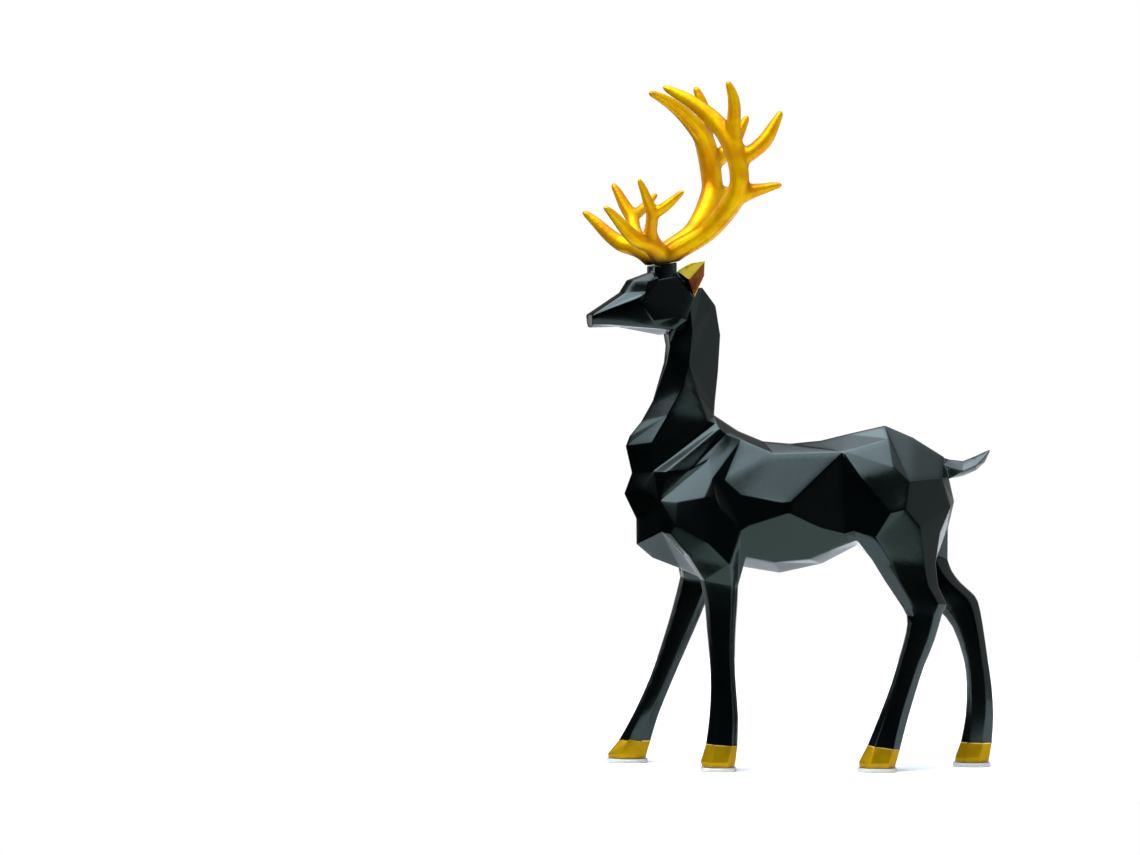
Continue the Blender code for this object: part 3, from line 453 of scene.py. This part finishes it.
def makeCasting():
    piece, mesh = copyNode("body", "casting")
    for finish in finishes.values():
        piece.data.materials.append(finish)
    bmesh.ops.dissolve_degenerate(mesh, edges=mesh.edges[:], dist=casting["sliver"])
    mesh.normal_update()
    for face in mesh.faces:
        face.material_index = paintOf(face)
    # a painted highlight: a bright pale gold rim where the enamel ends
    borders = [edge for edge in mesh.edges if len(edge.link_faces) == 2
               and len({face.material_index == paint["lacquer"] for face in edge.link_faces}) == 2]
    bmesh.ops.bevel(mesh, geom=borders, offset=casting["highlightRim"], offset_type="OFFSET", segments=1,
                    affect="EDGES", clamp_overlap=False, material=paint["highlightRim"])
    mesh.normal_update()
    facetOf = {}
    for number, facet in enumerate(growFacets(mesh)):
        facetOf.update({face: number for face in facet})
    # edges between facets get a rounding as wide as the faces beside them allow
    weight = mesh.edges.layers.float.new("bevel_weight_edge")
    for edge in mesh.edges:
        if len(edge.link_faces) == 2 and facetOf[edge.link_faces[0]] != facetOf[edge.link_faces[1]]:
            isHighlightRim = paint["highlightRim"] in (face.material_index for face in edge.link_faces)
            if edge.calc_face_angle(0) > casting["sharp"] and not isHighlightRim:
                length = edge.calc_length()
                rooms = [2 * face.calc_area() / max(length, other.calc_length())
                         for face in edge.link_faces for other in face.edges]
                allowed = casting["edgeShare"] * min(rooms + [length])
                edge[weight] = min(1.0, allowed / casting["edgeRound"])
    mesh.to_mesh(piece.data)
    mesh.free()
    print("facets:", max(facetOf.values()) + 1)
    rounding = piece.modifiers.new("rounding", "BEVEL")
    rounding.limit_method = "WEIGHT"
    rounding.width = casting["edgeRound"]
    rounding.segments = casting["edgeSteps"]
    rounding.use_clamp_overlap = False
    rounding.loop_slide = True
    bake(piece)
    mesh = bmesh.new()
    mesh.from_mesh(piece.data)
    for _ in range(casting["halvings"]):
        long = [edge for edge in mesh.edges if edge.calc_length() > casting["longest"]]
        if long:
            bmesh.ops.subdivide_edges(mesh, edges=long, cuts=1, use_grid_fill=True)
            bmesh.ops.triangulate(mesh, faces=[face for face in mesh.faces if len(face.verts) > 4])
    mesh.to_mesh(piece.data)
    mesh.free()
    piece.data.shade_smooth()
    piece.data.normals_split_custom_set_from_vertices(softNormals(piece.data).tolist())
    settle(piece, "body")
    return piece


castingPiece = makeCasting()
print("casting:", len(castingPiece.data.polygons), "faces")


# The antlers

antler = {
    "cell": 0.5 * mm,                       # size of the mesh's cells
    "ease": 20,                             # passes that melt the facets together
    "foldPasses": 40,                       # passes that spread the painted shade of a fold
    "foldFrom": -50.0, "foldTo": 60.0,      # hollowness, per metre, where the folds' painted shade starts and is full
}


def makeAntler(node, name, finish):
    piece, mesh = copyNode(node, name)
    mesh.to_mesh(piece.data)
    mesh.free()
    melt = piece.modifiers.new("melt", "REMESH")
    melt.mode = "VOXEL"
    melt.voxel_size = antler["cell"]
    bake(piece)
    data = piece.data
    # ease the facets away, then give back the thickness that easing took
    places, ends = readVectors(data.vertices, "co"), edgeEnds(data)
    smooth = eased(places, ends, antler["ease"])
    smooth = smooth + eased(places - smooth, ends, antler["ease"])
    data.vertices.foreach_set("co", smooth.astype(np.float32).ravel())
    data.update()
    # how hollow the surface is at each vertex, for the painted shade in the folds
    normals = readVectors(data.vertices, "normal")
    one, two = ends
    step = smooth[two] - smooth[one]
    size = np.maximum((step ** 2).sum(1), 1e-12)
    rise = np.bincount(one, (step * normals[one]).sum(1) / size, len(smooth))
    rise += np.bincount(two, -(step * normals[two]).sum(1) / size, len(smooth))
    hollow = eased(rise / neighbourSum(np.ones(len(smooth)), ends), ends, antler["foldPasses"])
    share = (hollow - antler["foldFrom"]) / (antler["foldTo"] - antler["foldFrom"])
    fold = data.attributes.new("fold", "FLOAT", "POINT")
    fold.data.foreach_set("value", np.clip(share, 0, 1).astype(np.float32))
    data.shade_smooth()
    data.materials.append(finish)
    settle(piece, node)
    return piece


for node, name in (("antler_left", "antlerLeft"), ("antler_right", "antlerRight")):
    made = makeAntler(node, name, makeSatinGold("satin gold paint " + node[7:], node))
    print(name + ":", len(made.data.polygons), "faces")


# The pads under the hooves

pad = {
    "flat": math.radians(2),        # faces that meet at less than this become one
    "corner": math.radians(50),     # edges that bend more than this stay crisp
}


def makePad(node, name):
    piece, mesh = copyNode(node, name)
    bmesh.ops.dissolve_limit(mesh, angle_limit=pad["flat"], verts=mesh.verts[:], edges=mesh.edges[:])
    mesh.to_mesh(piece.data)
    mesh.free()
    piece.data.shade_smooth()
    piece.data.set_sharp_from_angle(angle=pad["corner"])
    piece.data.materials.append(clearPad)
    settle(piece, node)
    return piece


for node in ("pad_fore_left", "pad_fore_right", "pad_hind_left", "pad_hind_right"):
    makePad(node, node.replace("pad_", "sole") + "Pad")
print("pads made")
